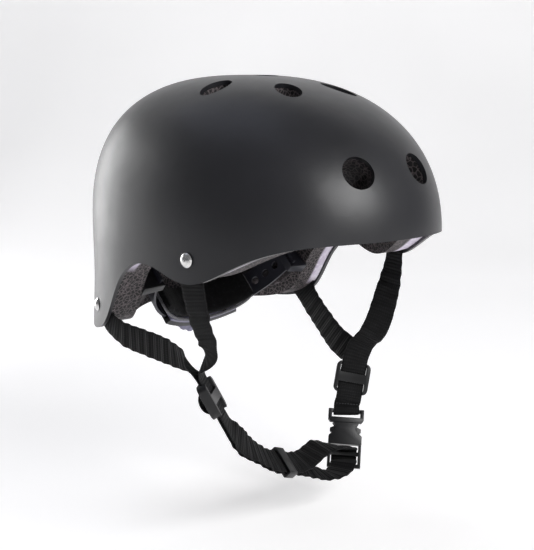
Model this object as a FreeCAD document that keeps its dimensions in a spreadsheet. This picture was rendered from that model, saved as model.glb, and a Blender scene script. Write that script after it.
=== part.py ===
"""Hard-shell water and skate helmet: foam liner, dial-fit cradle, webbing harness and side-release buckle.

Frame: millimetres, +Z up, the wearer faces -Y, the wearer's left is +X.
The origin lies inside the head cavity, level with the top of the vertical side walls and on the mid plane.
"""
import FreeCAD, Part
import Sketcher
import math
import os
from FreeCAD import Placement, Rotation, Vector

doc = FreeCAD.newDocument("helmet")

# ---------------------------------------------------------------------------
# Driving dimensions
# ---------------------------------------------------------------------------
SIZES = {
    # outer shell
    "half_width": 108, "front_reach": 153, "rear_reach": 122, "dome_rise": 110, "dome_shift": 15.5,
    "plan_power": 2.25, "side_power": 2.55, "front_power": 2.2, "rear_power": 2.7, "skirt_drop": 95,
    "shell_wall": 3.0,
    # foam liner and what is stuck in it
    "liner_gap": 0.3, "liner_side": 22, "liner_ends": 26, "liner_top": 24, "liner_recess": 2.5,
    "dot_gap": 0.2, "dot_thick": 1.0, "dot_radius": 9, "pad_gap": 1.4, "pad_thick": 5.0,
    # vents
    "vent_oval_long": 28, "vent_oval_short": 18, "vent_round": 18.5, "vent_brow": 23, "vent_depth": 90,
    # webbing and its rivets
    "web_width": 20, "web_thick": 1.3, "layer_gap": 0.4, "strap_stand": 1.35, "strap_pocket": 4.6,
    "pocket_length": 62,
    "rivet_head": 5.0, "rivet_ball": 6.6, "rivet_shank": 2.0, "rivet_hole": 2.15, "rivet_lift": 0.75,
    "washer_radius": 5.5, "washer_thick": 1.0,
    # rear cradle: a ring sector tilted up and forward
    "cradle_tilt": 45, "cradle_rear": 90, "cradle_level": -75, "band_radius": 66, "band_half": 1.0,
    "band_height": 20, "band_end": 88, "band_wide_from": 33, "tongue_tip": 15,
    "housing_angle": 62, "housing_height": 28, "housing_wall": 2.0, "channel_half": 1.3,
    "channel_height": 20.8, "pad_sector": 100, "cradle_pad_height": 31, "cradle_pad_thick": 8,
    "pinion_pitch": 4.5, "shaft_radius": 2.1, "knob_radius": 15, "knob_thick": 7,
    # tri-glides, keeper and buckle
    "glide_width": 27, "glide_height": 25, "glide_depth": 6.8, "glide_bar": 1.5,
    "keeper_length": 9, "buckle_width": 26, "buckle_depth": 8,
}
sheet = doc.addObject("Spreadsheet::Sheet", "sizes")
for row, (alias, value) in enumerate(SIZES.items(), start=1):
    sheet.set("A%d" % row, alias)
    sheet.set("B%d" % row, str(value))
    sheet.setAlias("B%d" % row, alias)
doc.recompute()


def size(name):
    """A driving dimension, read back from the sheet."""
    return float(getattr(sheet, name))


# ---------------------------------------------------------------------------
# Small building helpers
# ---------------------------------------------------------------------------
def bind(thing, **expressions):
    """Bind properties to sheet expressions; plain numbers are set as they are."""
    for prop, expression in expressions.items():
        if isinstance(expression, str):
            thing.setExpression(prop, expression)
        else:
            setattr(thing, prop, expression)
    return thing


def box(name, length, width, height, corner):
    """A Part box whose sizes and corner are expressions or numbers."""
    block = bind(doc.addObject("Part::Box", name), Length=length, Width=width, Height=height)
    for axis, value in zip("xyz", corner):
        block.setExpression("Placement.Base." + axis, str(value))
    return block


def centred_box(name, length, width, height, place, centre=(0, 0, 0)):
    """A Part box centred on a point of a local frame."""
    block = bind(doc.addObject("Part::Box", name), Length=length, Width=width, Height=height)
    block.recompute()
    half = Vector(block.Length.Value, block.Width.Value, block.Height.Value) * 0.5
    block.Placement = place.multiply(Placement(Vector(*centre) - half, Rotation()))
    return block


def rod(name, radius, height, place=None, **more):
    """A Part cylinder along its own Z, put where place says."""
    cylinder = bind(doc.addObject("Part::Cylinder", name), Radius=radius, Height=height, **more)
    if place is not None:
        cylinder.Placement = place
    return cylinder


def feature(name, shape):
    """A Part::Feature that holds a shape made by formula."""
    holder = doc.addObject("Part::Feature", name)
    holder.Shape = shape
    return holder


def cut(name, base, tool):
    result = doc.addObject("Part::Cut", name)
    result.Base = base
    result.Tool = tool
    return result


def common(name, base, tool):
    result = doc.addObject("Part::Common", name)
    result.Base = base
    result.Tool = tool
    return result


def fuse(name, shapes):
    result = doc.addObject("Part::MultiFuse", name)
    result.Shapes = shapes
    return result


def group(name, shapes):
    """Identical fasteners kept as separate solids in one node."""
    result = doc.addObject("Part::Compound", name)
    result.Links = shapes
    return result


def rounded(name, base, radius, picks):
    """Fillet the edges of base that picks(edge) chooses."""
    doc.recompute()
    result = doc.addObject("Part::Fillet", name)
    result.Base = base
    chosen = [i for i, edge in enumerate(base.Shape.Edges, start=1) if picks(edge)]
    result.Edges = [(i, radius, radius) for i in chosen]
    return result


def along(direction, at):
    """Placement that turns local +Z to direction and moves the origin to at."""
    return Placement(Vector(*at), Rotation(Vector(0, 0, 1), Vector(*direction)))


def frame_at(centre, across, up):
    """Placement with local X along across, local Z along up and local Y = Z x X."""
    z = Vector(*up).normalize()
    x = Vector(*across)
    x = (x - z * x.dot(z)).normalize()
    y = z.cross(x)
    matrix = FreeCAD.Matrix(x.x, y.x, z.x, centre[0], x.y, y.y, z.y, centre[1],
                            x.z, y.z, z.z, centre[2], 0, 0, 0, 1)
    return Placement(matrix)


NODES = []


def node(thing, label, place=None):
    """Name a finished sub-part; its label names its file."""
    thing.Label = label
    if place is not None:
        thing.Placement = place
    NODES.append(thing)
    return thing


def origin_plane(body, role):
    return next(f for f in body.Origin.OriginFeatures if f.Role == role)


def body_sketch(body, name, role):
    """A sketch lying on one of the body's own origin planes."""
    sketch = body.newObject("Sketcher::SketchObject", name)
    sketch.AttachmentSupport = [(origin_plane(body, role), "")]
    sketch.MapMode = "FlatFace"
    return sketch


# ---------------------------------------------------------------------------
# Dome surfaces: shell and liner are nested domes of one family
# ---------------------------------------------------------------------------
def reaches(inset_side, inset_ends, inset_top, level):
    """Half width, front and rear reach of the dome at a height: (1-(z/c)^m)^(1/m) of the full reach."""
    top = size("dome_rise") - inset_top
    share = max(level, 0.0) / top
    out = []
    for reach, inset, power in (("half_width", inset_side, "side_power"),
                                ("front_reach", inset_ends, "front_power"),
                                ("rear_reach", inset_ends, "rear_power")):
        m = size(power)
        out.append((size(reach) - inset) * (1 - share ** m) ** (1 / m))
    return out


def dome_ring(insets, level, points=36):
    """Closed spline |x/B|^n + |(y-s)/A|^n = 1 at a height."""
    half, front, rear = reaches(*insets, level)
    k = 2.0 / size("plan_power")
    ring = []
    for i in range(points):
        angle = 2 * math.pi * i / points
        c, s = math.cos(angle), math.sin(angle)
        reach = rear if s > 0 else front
        x = half * math.copysign(abs(c) ** k, c)
        y = size("dome_shift") + reach * math.copysign(abs(s) ** k, s)
        ring.append(Vector(x, y, level))
    curve = Part.BSplineCurve()
    curve.interpolate(ring, PeriodicFlag=True)
    return Part.Wire(curve.toShape())


# Heights of the lofted rings as shares of the dome's rise; they crowd towards the crown.
RISE_SHARES = (0.0, 0.18, 0.35, 0.5, 0.63, 0.74, 0.83, 0.9, 0.95, 0.98, 0.994, 0.999, 0.99996)


def dome(name, inset_side, inset_ends, inset_top):
    """Closed dome solid on vertical walls, inset from the outer skin."""
    insets = (inset_side, inset_ends, inset_top)
    top = size("dome_rise") - inset_top
    levels = [-size("skirt_drop"), -0.5 * size("skirt_drop")] + [share * top for share in RISE_SHARES]
    return feature(name, Part.makeLoft([dome_ring(insets, level) for level in levels], True, False))


def wall_point(side, y, z, inset=0.0):
    """Point on the dome inset by a distance, on one side (-1 right, +1 left), and the outward direction."""
    half, front, rear = reaches(inset, inset, inset, z)
    n = size("plan_power")
    shift = y - size("dome_shift")
    reach = rear if shift > 0 else front
    x = half * (1 - abs(shift / reach) ** n) ** (1 / n)
    gx = n * (x / half) ** (n - 1) / half
    gy = math.copysign(n * abs(shift / reach) ** (n - 1) / reach, shift)
    out = Vector(side * gx, gy, 0).normalize()
    return Vector(side * x, y, z), out


def rear_downhill(side, out):
    """Direction of the rear straps along the shell wall: forwards and down at about 45 degrees."""
    forward = Vector(out.y * side, -out.x * side, 0)
    return (forward * 0.7 + Vector(0, 0, -0.72)).normalize()


def dome_normal(x, y, z):
    """Outward direction of the outer skin, from the slope of its formula."""
    def value(px, py, pz):
        half, front, rear = reaches(0, 0, 0, pz)
        shift = py - size("dome_shift")
        reach = rear if shift > 0 else front
        return abs(px / half) ** size("plan_power") + abs(shift / reach) ** size("plan_power")
    step = 0.01
    here = value(x, y, z)
    return Vector(value(x + step, y, z) - here, value(x, y + step, z) - here,
                  value(x, y, z + step) - here).normalize()


# Side view of the trimmed edge, the same on both sides: brim, temple tab, ear arch, nape tab, rear edge.
RIM_POINTS = ((-160, 4.5), (-125, 4), (-103, 0), (-83, -7.5), (-63, -18), (-43, -25.5), (-25, -23.5),
              (-9, -18), (5, -16.5), (19, -20.5), (31, -29.5), (40, -42), (48, -56), (58, -67.5),
              (74, -73.5), (92, -74), (112, -69), (130, -65), (160, -64))


def rim_tool(name, raise_by):
    """Everything below the rim line, as a slab that spans the helmet's width."""
    curve = Part.BSplineCurve()
    curve.interpolate([Vector(0, y, z + raise_by) for y, z in RIM_POINTS])
    first, last = RIM_POINTS[0], RIM_POINTS[-1]
    low = -2 * size("skirt_drop")
    corners = [Vector(0, last[0], last[1] + raise_by), Vector(0, last[0], low),
               Vector(0, first[0], low), Vector(0, first[0], first[1] + raise_by)]
    sides = [Part.LineSegment(a, b).toShape() for a, b in zip(corners, corners[1:])]
    outline = feature(name + "_outline", Part.Face(Part.Wire([curve.toShape()] + sides)))
    slab = doc.addObject("Part::Extrusion", name)
    slab.Base = outline
    slab.DirMode = "Custom"
    slab.Dir = Vector(1, 0, 0)
    slab.Symmetric = True
    slab.setExpression("LengthFwd", "sizes.half_width * 2.5")
    return slab


# ---------------------------------------------------------------------------
# Vents: eleven holes through shell and liner
# ---------------------------------------------------------------------------
def vent_tool(name, at, kind):
    """Cutter square to the skin; ovals point away from the crown."""
    out = dome_normal(*at)
    start = Vector(*at) - out * 0.6 * size("vent_depth")
    if kind != "oval":
        place = Placement(start, Rotation(Vector(0, 0, 1), out))
        return rod(name, "sizes.%s / 2" % kind, "sizes.vent_depth", place)
    rim = doc.addObject("Part::Ellipse", name + "_rim")
    bind(rim, MajorRadius="sizes.vent_oval_long / 2", MinorRadius="sizes.vent_oval_short / 2")
    radial = Vector(at[0], at[1], 0)
    rim.Placement = frame_at(start, radial, out)
    tool = doc.addObject("Part::Extrusion", name)
    tool.Base = rim
    tool.DirMode = "Custom"
    tool.Dir = out
    tool.Solid = True
    tool.setExpression("LengthFwd", "sizes.vent_depth")
    return tool


VENTS = [("crown", (0.0, -2.0, 109.7), "vent_round")]
for mark, side in (("right", -1), ("left", 1)):
    VENTS += [("brow_" + mark, (side * 28.0, -122.0, 48.5), "vent_brow"),
              ("front_" + mark, (side * 24.0, -51.5, 100.0), "oval"),
              ("side_" + mark, (side * 52.0, -8.5, 102.0), "oval"),
              ("rear_" + mark, (side * 27.0, 57.0, 103.0), "oval"),
              ("nape_" + mark, (side * 30.0, 125.0, 45.0), "vent_brow")]
vent_tools = fuse("vent_tools", [vent_tool("vent_" + name, at, kind) for name, at, kind in VENTS])

# ---------------------------------------------------------------------------
# Strap rivets: where the webbing is fixed to the shell wall
# ---------------------------------------------------------------------------
RIVET_SPOTS = [("front_right", -1, -40.0, -9.5), ("front_left", 1, -40.0, -9.5),
               ("rear_right", -1, 72.0, -56.0), ("rear_left", 1, 72.0, -56.0)]


def rivet_place(side, y, z, inset):
    """Local +Z points outwards through the wall, at a depth below the outer skin."""
    point, out = wall_point(side, y, z)
    return Placement(point - out * inset, Rotation(Vector(0, 0, 1), out))


rivets, washers, rivet_holes = [], [], []
for mark, side, y, z in RIVET_SPOTS:
    stack = size("shell_wall") + 2 * size("strap_stand") + size("washer_thick")
    ball_low = size("rivet_ball") * math.sqrt(1 - (size("rivet_head") / size("rivet_ball")) ** 2)
    head = bind(doc.addObject("Part::Sphere", "head_" + mark), Radius="sizes.rivet_ball",
                Angle1="asin(sqrt(1 - (sizes.rivet_head / sizes.rivet_ball)^2)) * 1")
    lift = size("rivet_lift")
    head.Placement = rivet_place(side, y, z, ball_low - lift)
    shank = rod("shank_" + mark, "sizes.rivet_shank", stack + 2 * lift, rivet_place(side, y, z, stack))
    rivets.append(fuse("rivet_" + mark, [head, shank]))
    disc = rod("washer_disc_" + mark, "sizes.washer_radius", "sizes.washer_thick",
               rivet_place(side, y, z, stack))
    hole = rod("rivet_hole_" + mark, "sizes.rivet_hole", 4 * stack, rivet_place(side, y, z, 2 * stack))
    rivet_holes.append(hole)
    washers.append(cut("washer_" + mark, disc, hole))
all_holes = fuse("rivet_holes", rivet_holes)
node(group("strap_rivets", rivets), "strap_rivets")
node(group("rivet_washers", washers), "rivet_washers")

# ---------------------------------------------------------------------------
# Outer shell: 3 mm moulded dome, trimmed, vented and drilled
# ---------------------------------------------------------------------------
skin = dome("shell_skin", 0, 0, 0)
wall = size("shell_wall")
shell_blank = cut("shell_blank", skin, dome("shell_bore", wall, wall, wall))
shell_trimmed = cut("shell_trimmed", shell_blank, rim_tool("shell_rim", 0))
shell_vented = cut("shell_vented", shell_trimmed, vent_tools)
node(cut("outer_shell", shell_vented, all_holes), "outer_shell")

# ---------------------------------------------------------------------------
# Foam liner: thick foam dome inside the shell, with pockets where the straps pass
# ---------------------------------------------------------------------------
gap = wall + size("liner_gap")
inner = (gap + size("liner_side"), gap + size("liner_ends"), gap + size("liner_top"))
cavity = dome("liner_cavity", *inner)
liner_blank = cut("liner_blank", dome("liner_skin", gap, gap, gap), cavity)
liner_trimmed = cut("liner_trimmed", liner_blank, rim_tool("liner_rim", size("liner_recess")))
liner_vented = cut("liner_vented", liner_trimmed, vent_tools)

pockets = []
for mark, side, y, z in RIVET_SPOTS:
    point, out = wall_point(side, y, z, wall)
    downhill = Vector(0, 0, -1) if mark.startswith("front") else rear_downhill(side, out)
    place = frame_at(point, out.cross(downhill), downhill)
    pockets.append(centred_box("pocket_" + mark, "sizes.web_width + 5", "2 * sizes.strap_pocket",
                               "sizes.pocket_length", place, (0, 0, 18)))
node(cut("foam_liner", liner_vented, fuse("strap_pockets", pockets)), "foam_liner")

# ---------------------------------------------------------------------------
# Comfort pads and the hook-and-loop dots that hold them, both following the liner's inner face
# ---------------------------------------------------------------------------
def layer(name, start, thick):
    """Shell of even thickness that starts a distance inside the liner's inner face."""
    first = tuple(inset + start for inset in inner)
    second = tuple(inset + start + thick for inset in inner)
    return cut(name, dome(name + "_outer", *first), dome(name + "_inner", *second))


pad_layer = layer("pad_layer", size("pad_gap"), size("pad_thick"))
dot_layer = layer("dot_layer", size("dot_gap"), size("dot_thick"))
pad_rim = rim_tool("pad_rim", 8)


def pad(label, window, hole=None):
    """A pad cut out of the pad layer by a window, kept clear of the trimmed edge."""
    piece = common(label + "_blank", pad_layer, window)
    piece = cut(label + "_trimmed", piece, pad_rim)
    if hole is not None:
        piece = cut(label + "_opened", piece, hole)
    return node(piece, label)


pad("front_pad", box("front_window", 104, 60, 25, (-52, -140, 9)))
crown_disc = rod("crown_disc", 37, 60, Placement(Vector(0, -2, 45), Rotation()))
crown_hole = rod("crown_hole", 13, 80, Placement(Vector(0, -2, 40), Rotation()))
pad("crown_pad", crown_disc, crown_hole)
for mark, low_x in (("right", -100), ("left", 40)):
    pad(mark + "_side_pad", box(mark + "_side_window", 60, 62, 27, (low_x, -44, -2)))


# ---------------------------------------------------------------------------
# Rear cradle: every piece is a sector of rings about one tilted axis
# Local +X points back and down from the head, local +Y to the wearer's right, local +Z up the band.
# ---------------------------------------------------------------------------
tilt = math.radians(size("cradle_tilt"))
outward = Vector(0, math.cos(tilt), -math.sin(tilt))
up_band = Vector(0, math.sin(tilt), math.cos(tilt))
hub = Vector(0, size("cradle_rear"), size("cradle_level"))
CRADLE = frame_at(hub - outward * size("band_radius"), outward, up_band)


def ring_sector(name, low_radius, high_radius, bottom, height, start, span, place=CRADLE):
    """Ring sector from an angle over a span, in the cradle's frame; sizes are expressions."""
    turn = Rotation(Vector(0, 0, 1), start)
    outer = rod(name + "_outer", high_radius, height, place.multiply(Placement(Vector(0, 0, bottom), turn)))
    outer.setExpression("Angle", str(span))
    outer.recompute()
    below = bottom - outer.Height.Value
    bore = rod(name + "_bore", low_radius, "(%s) * 3" % height,
               place.multiply(Placement(Vector(0, 0, below), turn)))
    return cut(name, outer, bore)


def radial_rod(name, radius, start, length, angle=0.0, level=0.0):
    """Cylinder along the outward direction at an angle, from a distance off the axis."""
    turn = Placement(Vector(0, 0, 0), Rotation(Vector(0, 0, 1), angle))
    lie = Placement(Vector(start, 0, level), Rotation(Vector(0, 1, 0), 90))
    return rod(name, radius, length, CRADLE.multiply(turn).multiply(lie))


R = size("band_radius")
half_housing = size("housing_angle") / 2
tall = size("housing_height")
channel = size("channel_height")
case = ring_sector("case_block", "sizes.band_radius - sizes.channel_half",
                   "sizes.band_radius + sizes.channel_half + sizes.housing_wall",
                   -tall / 2, "sizes.housing_height", -half_housing, "sizes.housing_angle")
race = ring_sector("case_race", "sizes.band_radius - 2 * sizes.channel_half",
                   "sizes.band_radius + sizes.channel_half",
                   -channel / 2, "sizes.channel_height", -half_housing - 5, "sizes.housing_angle + 10")
shaft_bore = radial_rod("shaft_bore", "sizes.shaft_radius + 0.15", R, 12)
screw_spots = [(angle, level) for angle in (-22, 22) for level in (-12.2, 12.2)]
screw_bores = [radial_rod("screw_bore_%d" % i, 0.95, R - 6, 10.2, angle, level)
               for i, (angle, level) in enumerate(screw_spots)]
case_holes = fuse("case_holes", [shaft_bore] + screw_bores)
node(cut("dial_housing", cut("case_open", case, race), case_holes), "dial_housing")

plate = ring_sector("cover_block", "sizes.band_radius - sizes.channel_half - 0.1 - sizes.housing_wall",
                    "sizes.band_radius - sizes.channel_half - 0.1",
                    -tall / 2, "sizes.housing_height", -half_housing, "sizes.housing_angle")
node(cut("dial_cover", plate, fuse("cover_holes", screw_bores)), "dial_cover")
screws = []
for i, (angle, level) in enumerate(screw_spots):
    shank = radial_rod("screw_shank_%d" % i, 0.8, R - 3.8, 6.5, angle, level)
    head = radial_rod("screw_head_%d" % i, 1.6, R - 4.7, 1.1, angle, level)
    screws.append(fuse("screw_%d" % i, [shank, head]))
node(group("cover_screws", screws), "cover_screws")

# Pinion, shaft, knob and its screw: one turning body about the outward line through the hub.
PINION_TEETH = 8
pitch = 2 * math.pi * size("pinion_pitch") / PINION_TEETH
ADDENDUM, DEDENDUM = 0.9, 1.2
TIP_HALF, ROOT_HALF = 0.33, 0.78


def tooth_face(base, tip, x):
    """Trapezoid tooth in the local YZ plane, from its root level to its tip level."""
    corners = [Vector(x, -ROOT_HALF, base), Vector(x, ROOT_HALF, base),
               Vector(x, TIP_HALF, tip), Vector(x, -TIP_HALF, tip)]
    return Part.Face(Part.makePolygon(corners + corners[:1]))


band_in = R - size("band_half")
band_deep = 2 * size("band_half")
root = size("pinion_pitch") - DEDENDUM
gear = [radial_rod("pinion_hub", root + 0.05, band_in, band_deep),
        radial_rod("pinion_shaft", "sizes.shaft_radius", band_in + band_deep - 0.1, 9.0)]
for i in range(PINION_TEETH):
    solid = tooth_face(root - 0.1, size("pinion_pitch") + ADDENDUM, band_in).extrude(Vector(band_deep, 0, 0))
    tooth = feature("pinion_tooth_%d" % i, solid)
    spin = Rotation(Vector(1, 0, 0), 360.0 * i / PINION_TEETH)
    tooth.Placement = CRADLE.multiply(Placement(Vector(0, 0, 0), spin))
    gear.append(tooth)
node(fuse("dial_pinion", gear), "dial_pinion")

knob_body = doc.addObject("PartDesign::Body", "dial_knob")
disc_sketch = body_sketch(knob_body, "knob_disc", "YZ_Plane")
rim_id = disc_sketch.addGeometry(Part.Circle(Vector(0, 0, 0), Vector(0, 0, 1), 15))
bore_id = disc_sketch.addGeometry(Part.Circle(Vector(0, 0, 0), Vector(0, 0, 1), 2))
for geo, rule in ((rim_id, "sizes.knob_radius"), (bore_id, "sizes.shaft_radius")):
    disc_sketch.addConstraint(Sketcher.Constraint("Coincident", geo, 3, -1, 1))
    where = disc_sketch.addConstraint(Sketcher.Constraint("Radius", geo, 5.0))
    disc_sketch.setExpression("Constraints[%d]" % where, rule)
knob_pad = knob_body.newObject("PartDesign::Pad", "knob_pad")
knob_pad.Profile = disc_sketch
knob_pad.setExpression("Length", "sizes.knob_thick")
scallop_sketch = body_sketch(knob_body, "knob_scallop", "YZ_Plane")
scallop = scallop_sketch.addGeometry(Part.Circle(Vector(0, 16.2, 0), Vector(0, 0, 1), 2.2))
scallop_sketch.addConstraint(Sketcher.Constraint("PointOnObject", scallop, 3, -2))
lift = scallop_sketch.addConstraint(Sketcher.Constraint("DistanceY", -1, 1, scallop, 3, 16.2))
scallop_sketch.setExpression("Constraints[%d]" % lift, "sizes.knob_radius + 1.2")
scallop_sketch.addConstraint(Sketcher.Constraint("Radius", scallop, 2.2))
grip = knob_body.newObject("PartDesign::Pocket", "knob_grip")
grip.Profile = scallop_sketch
grip.Type = "ThroughAll"
grip.Midplane = True
grips = knob_body.newObject("PartDesign::PolarPattern", "knob_grips")
grips.Originals = [grip]
grips.Axis = (scallop_sketch, ["N_Axis"])
grips.Angle = 360
grips.Occurrences = 14
knob_body.Tip = grips
node(knob_body, "dial_knob", CRADLE.multiply(Placement(Vector(R + 4.0, 0, 0), Rotation())))
shank = radial_rod("knob_screw_shank", 2.05, R + size("band_half") + 9.2, 2.0)
head = radial_rod("knob_screw_head", 4.2, R + 4.1 + size("knob_thick"), 1.4)
node(fuse("dial_screw", [shank, head]), "dial_screw")

# Fit bands: perforated strips with a toothed tongue that the pinion draws in, one from each side.
wide_from = size("band_wide_from")
for mark, hand in (("right", 1), ("left", -1)):
    span = size("band_end") - wide_from
    wide = ring_sector(mark + "_wide", "sizes.band_radius - sizes.band_half",
                       "sizes.band_radius + sizes.band_half", -size("band_height") / 2, "sizes.band_height",
                       wide_from if hand > 0 else -wide_from - span, str(span))
    low = size("pinion_pitch") + DEDENDUM
    tongue_deep = size("band_height") / 2 - low
    start = -size("tongue_tip") if hand > 0 else -wide_from - 0.5
    tongue = ring_sector(mark + "_tongue", "sizes.band_radius - sizes.band_half",
                         "sizes.band_radius + sizes.band_half", low if hand > 0 else -low - tongue_deep,
                         str(tongue_deep), start, str(size("tongue_tip") + wide_from + 0.5))
    holes = [radial_rod("%s_hole_%d" % (mark, i), 3.2, R - 5, 10, hand * (wide_from + 11 + 9.2 * i))
             for i in range(5)]
    solids = [cut(mark + "_wide_holed", wide, fuse(mark + "_band_holes", holes)), tongue]
    for k in range(-3, 4):
        turn = hand * math.degrees((k + 0.5) * pitch / R)
        solid = tooth_face(-low - 0.3, -low + ADDENDUM + DEDENDUM, band_in).extrude(Vector(band_deep, 0, 0))
        tooth = feature("%s_tooth_%d" % (mark, k + 3), solid)
        spin = Placement(Vector(0, 0, 0), Rotation(Vector(0, 0, 1), turn))
        flip = Placement(Vector(0, 0, 0), Rotation(Vector(1, 0, 0), 180 if hand > 0 else 0))
        tooth.Placement = CRADLE.multiply(spin).multiply(flip)
        solids.append(tooth)
    node(fuse(mark + "_band", solids), mark + "_band")

# Guides: clips on the liner in which the front end of each band runs.
for mark, hand in (("right", 1), ("left", -1)):
    start, span = (79, 6) if hand > 0 else (-85, 6)
    block = ring_sector(mark + "_guide_block", "sizes.band_radius - 3", "sizes.band_radius + 22",
                        -13, "26", start, str(span))
    slot = ring_sector(mark + "_guide_slot", "sizes.band_radius - 1.35", "sizes.band_radius + 1.35",
                       -10.4, "20.8", start - 2, str(span + 4))
    seated = common(mark + "_guide_seated", block, cavity)
    node(cut(mark + "_band_guide", seated, slot), mark + "_band_guide")
    room = ring_sector(mark + "_guide_room", "sizes.band_radius - 5", "sizes.band_radius + 26",
                       -14, "28", start - 1, str(span + 2))
    window = box(mark + "_nape_window", 62, 66, 26, (-100 if hand > 0 else 38, 34, -70))
    pad(mark + "_nape_pad", window, room)

cushion = ring_sector("cushion_block", "sizes.band_radius - 5 - sizes.cradle_pad_thick",
                      "sizes.band_radius - 5", -size("cradle_pad_height") / 2, "sizes.cradle_pad_height",
                      -size("pad_sector") / 2, "sizes.pad_sector")
node(rounded("cradle_cushion", cushion, 3.0,
             lambda e: len(e.Vertexes) == 2 and e.Length > 20), "cradle_pad")

# ---------------------------------------------------------------------------
# Hook-and-loop dots between liner and pads
# ---------------------------------------------------------------------------
dots = []
spots = [((x, -100, 21), (0, -1, 0)) for x in (-32, 0, 32)]
spots += [((s * 60, y, 11), (s, 0, 0)) for s in (-1, 1) for y in (-28, 2)]
spots += [((s * 25, -2, 60), (0, 0, 1)) for s in (-1, 1)]
for i, (at, way) in enumerate(spots):
    place = along(way, Vector(*at) - Vector(*way) * 5)
    dots.append(common("dot_%d" % i, rod("dot_rod_%d" % i, "sizes.dot_radius", 45, place), dot_layer))
node(group("hook_dots", dots), "hook_dots")

# ---------------------------------------------------------------------------
# Webbing: flat strips carried along hand-set stations, each a place and a direction across the web
# ---------------------------------------------------------------------------
def spline(points):
    curve = Part.BSplineCurve()
    curve.interpolate(points)
    return curve


def strip(name, stations, thick, shift=0.0, width=None, step=4.0):
    """Closed strip of rectangular section; shift moves it along its own face direction."""
    half = (width or size("web_width")) / 2
    path = spline([Vector(*at) for at, _ in stations])
    reach = [path.parameter(Vector(*at)) for at, _ in stations]
    rails = [[], [], [], []]
    samples = [(0, 0.0)]
    for k in range(len(stations) - 1):
        count = max(1, round((Vector(*stations[k + 1][0]) - Vector(*stations[k][0])).Length / step))
        samples += [(k, (i + 1) / count) for i in range(count)]
    for k, share in samples:
        u = reach[k] + (reach[k + 1] - reach[k]) * share
        here, along_path = path.value(u), path.tangent(u)[0]
        share = share * share * (3 - 2 * share)
        across = Vector(*stations[k][1]).normalize() * (1 - share)
        across += Vector(*stations[k + 1][1]).normalize() * share
        across = (across - along_path * across.dot(along_path)).normalize()
        face = along_path.cross(across)
        middle = here + face * shift
        for rail, (a, b) in zip(rails, ((-1, -1), (1, -1), (1, 1), (-1, 1))):
            rail.append(middle + across * half * a + face * thick / 2 * b)
    edges = [spline(rail).toShape() for rail in rails]
    faces = [Part.makeRuledSurface(edges[i], edges[(i + 1) % 4]) for i in range(4)]
    for end in (0, -1):
        ring = [rail[end] for rail in rails]
        faces.append(Part.Face(Part.makePolygon(ring + ring[:1])))
    shell = Part.Shell(faces)
    shell.sewShape()
    solid = Part.Solid(shell)
    if solid.Volume < 0:
        solid.reverse()
    return feature(name, solid)


def local(place, x, y, z):
    return tuple(place.multVec(Vector(x, y, z)))


def on_wall(side, y, z, downhill, lift=0.0):
    """Station on the shell's inside, the web lying flat on the wall and running downhill."""
    point, out = wall_point(side, y, z, size("shell_wall"))
    across = out.cross(downhill) * -side
    return tuple(point - out * (size("strap_stand") + lift)), tuple(across)


# Tri-glides hang beside the jaw, turned so that their faces look inwards and forwards.
GLIDES = {"right": frame_at((-84.5, -42, -105), (-0.74, -0.67, 0), (-0.32, 0.353, 0.879)),
          "left": frame_at((82, -12, -127), (0.74, -0.67, 0), (0.304, 0.076, 0.95))}
BUCKLE = frame_at((58, -27, -192), (0.748, -0.663, 0), (0.355, 0.289, 0.889))
KEEPER = frame_at((-18, -41, -166.5), (-0.35, -0.8, -0.48), (-0.932, -0.161, 0.323))

DOWN = Vector(0, 0, -1)
# Webbing runs straight through each tri-glide, and on below it for as far as the tri-glide slides.
STRAIGHT_TOP = 14.5
GLIDE_HEIGHTS = (STRAIGHT_TOP, 11, 7, 3, -1, -5, -9, -12.8)
STRAIGHT_BELOW = (-13.3, -15.4, -17.5, -19.6)
STRAP_STATIONS = {
    "right_front": [((-94.5, -42, -50), (0.1, -1, 0)), ((-89.5, -45, -74), (-0.16, -0.98, 0))],
    "left_front": [((94, -36, -58), (0.3, -0.95, 0)), ((89.5, -27, -88), (0.6, -0.8, 0))],
    "right_rear": [((-96, 47, -73.5), (-0.15, -0.3, 0.94)), ((-93, 24, -77), (-0.1, -0.15, 0.98)),
                   ((-90.5, -2, -80), (-0.15, -0.2, 0.97)), ((-89.6, -22, -84), (-0.45, -0.4, 0.7))],
    "left_rear": [((96, 50, -76), (0.15, -0.3, 0.94)), ((93, 32, -89), (0.15, -0.4, 0.9)),
                  ((90, 13, -101), (0.3, -0.5, 0.8)), ((88.6, -1, -106.5), (0.5, -0.6, 0.5))],
}
layer_shift = (size("web_thick") + size("layer_gap")) / 2
for mark, side in (("right", -1), ("left", 1)):
    glide = GLIDES[mark]
    turned = (-0.74, -0.67, 0) if side < 0 else (0.74, -0.67, 0)
    for part_name, layer_side in (("front", -1), ("rear", 1)):
        y_local = layer_side * side * layer_shift
        bend = STRAP_STATIONS["%s_%s" % (mark, part_name)]
        far = glide.inverse().multVec(Vector(*bend[-1][0]))
        share = 0.45
        nearing = local(glide, far.x * share ** 2, y_local + (far.y - y_local) * share ** 2,
                        STRAIGHT_TOP + (far.z - STRAIGHT_TOP) * share)
        tail = [(nearing, turned)] + [(local(glide, 0, y_local, z), turned) for z in GLIDE_HEIGHTS]
        if part_name == "front":
            top = [on_wall(side, -40, z, DOWN) for z in (1, -9.5, -24)]
        else:
            top = []
            for y, z in ((79, -48.5), (72, -56), (62, -66)):
                out = wall_point(side, y, z)[1]
                top.append(on_wall(side, y, z, rear_downhill(side, out)))
        web = strip("%s_%s_web" % (mark, part_name), top + bend + tail, size("web_thick"))
        node(cut("%s_%s_strap" % (mark, part_name), web, all_holes), "%s_%s_strap" % (mark, part_name))

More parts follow.
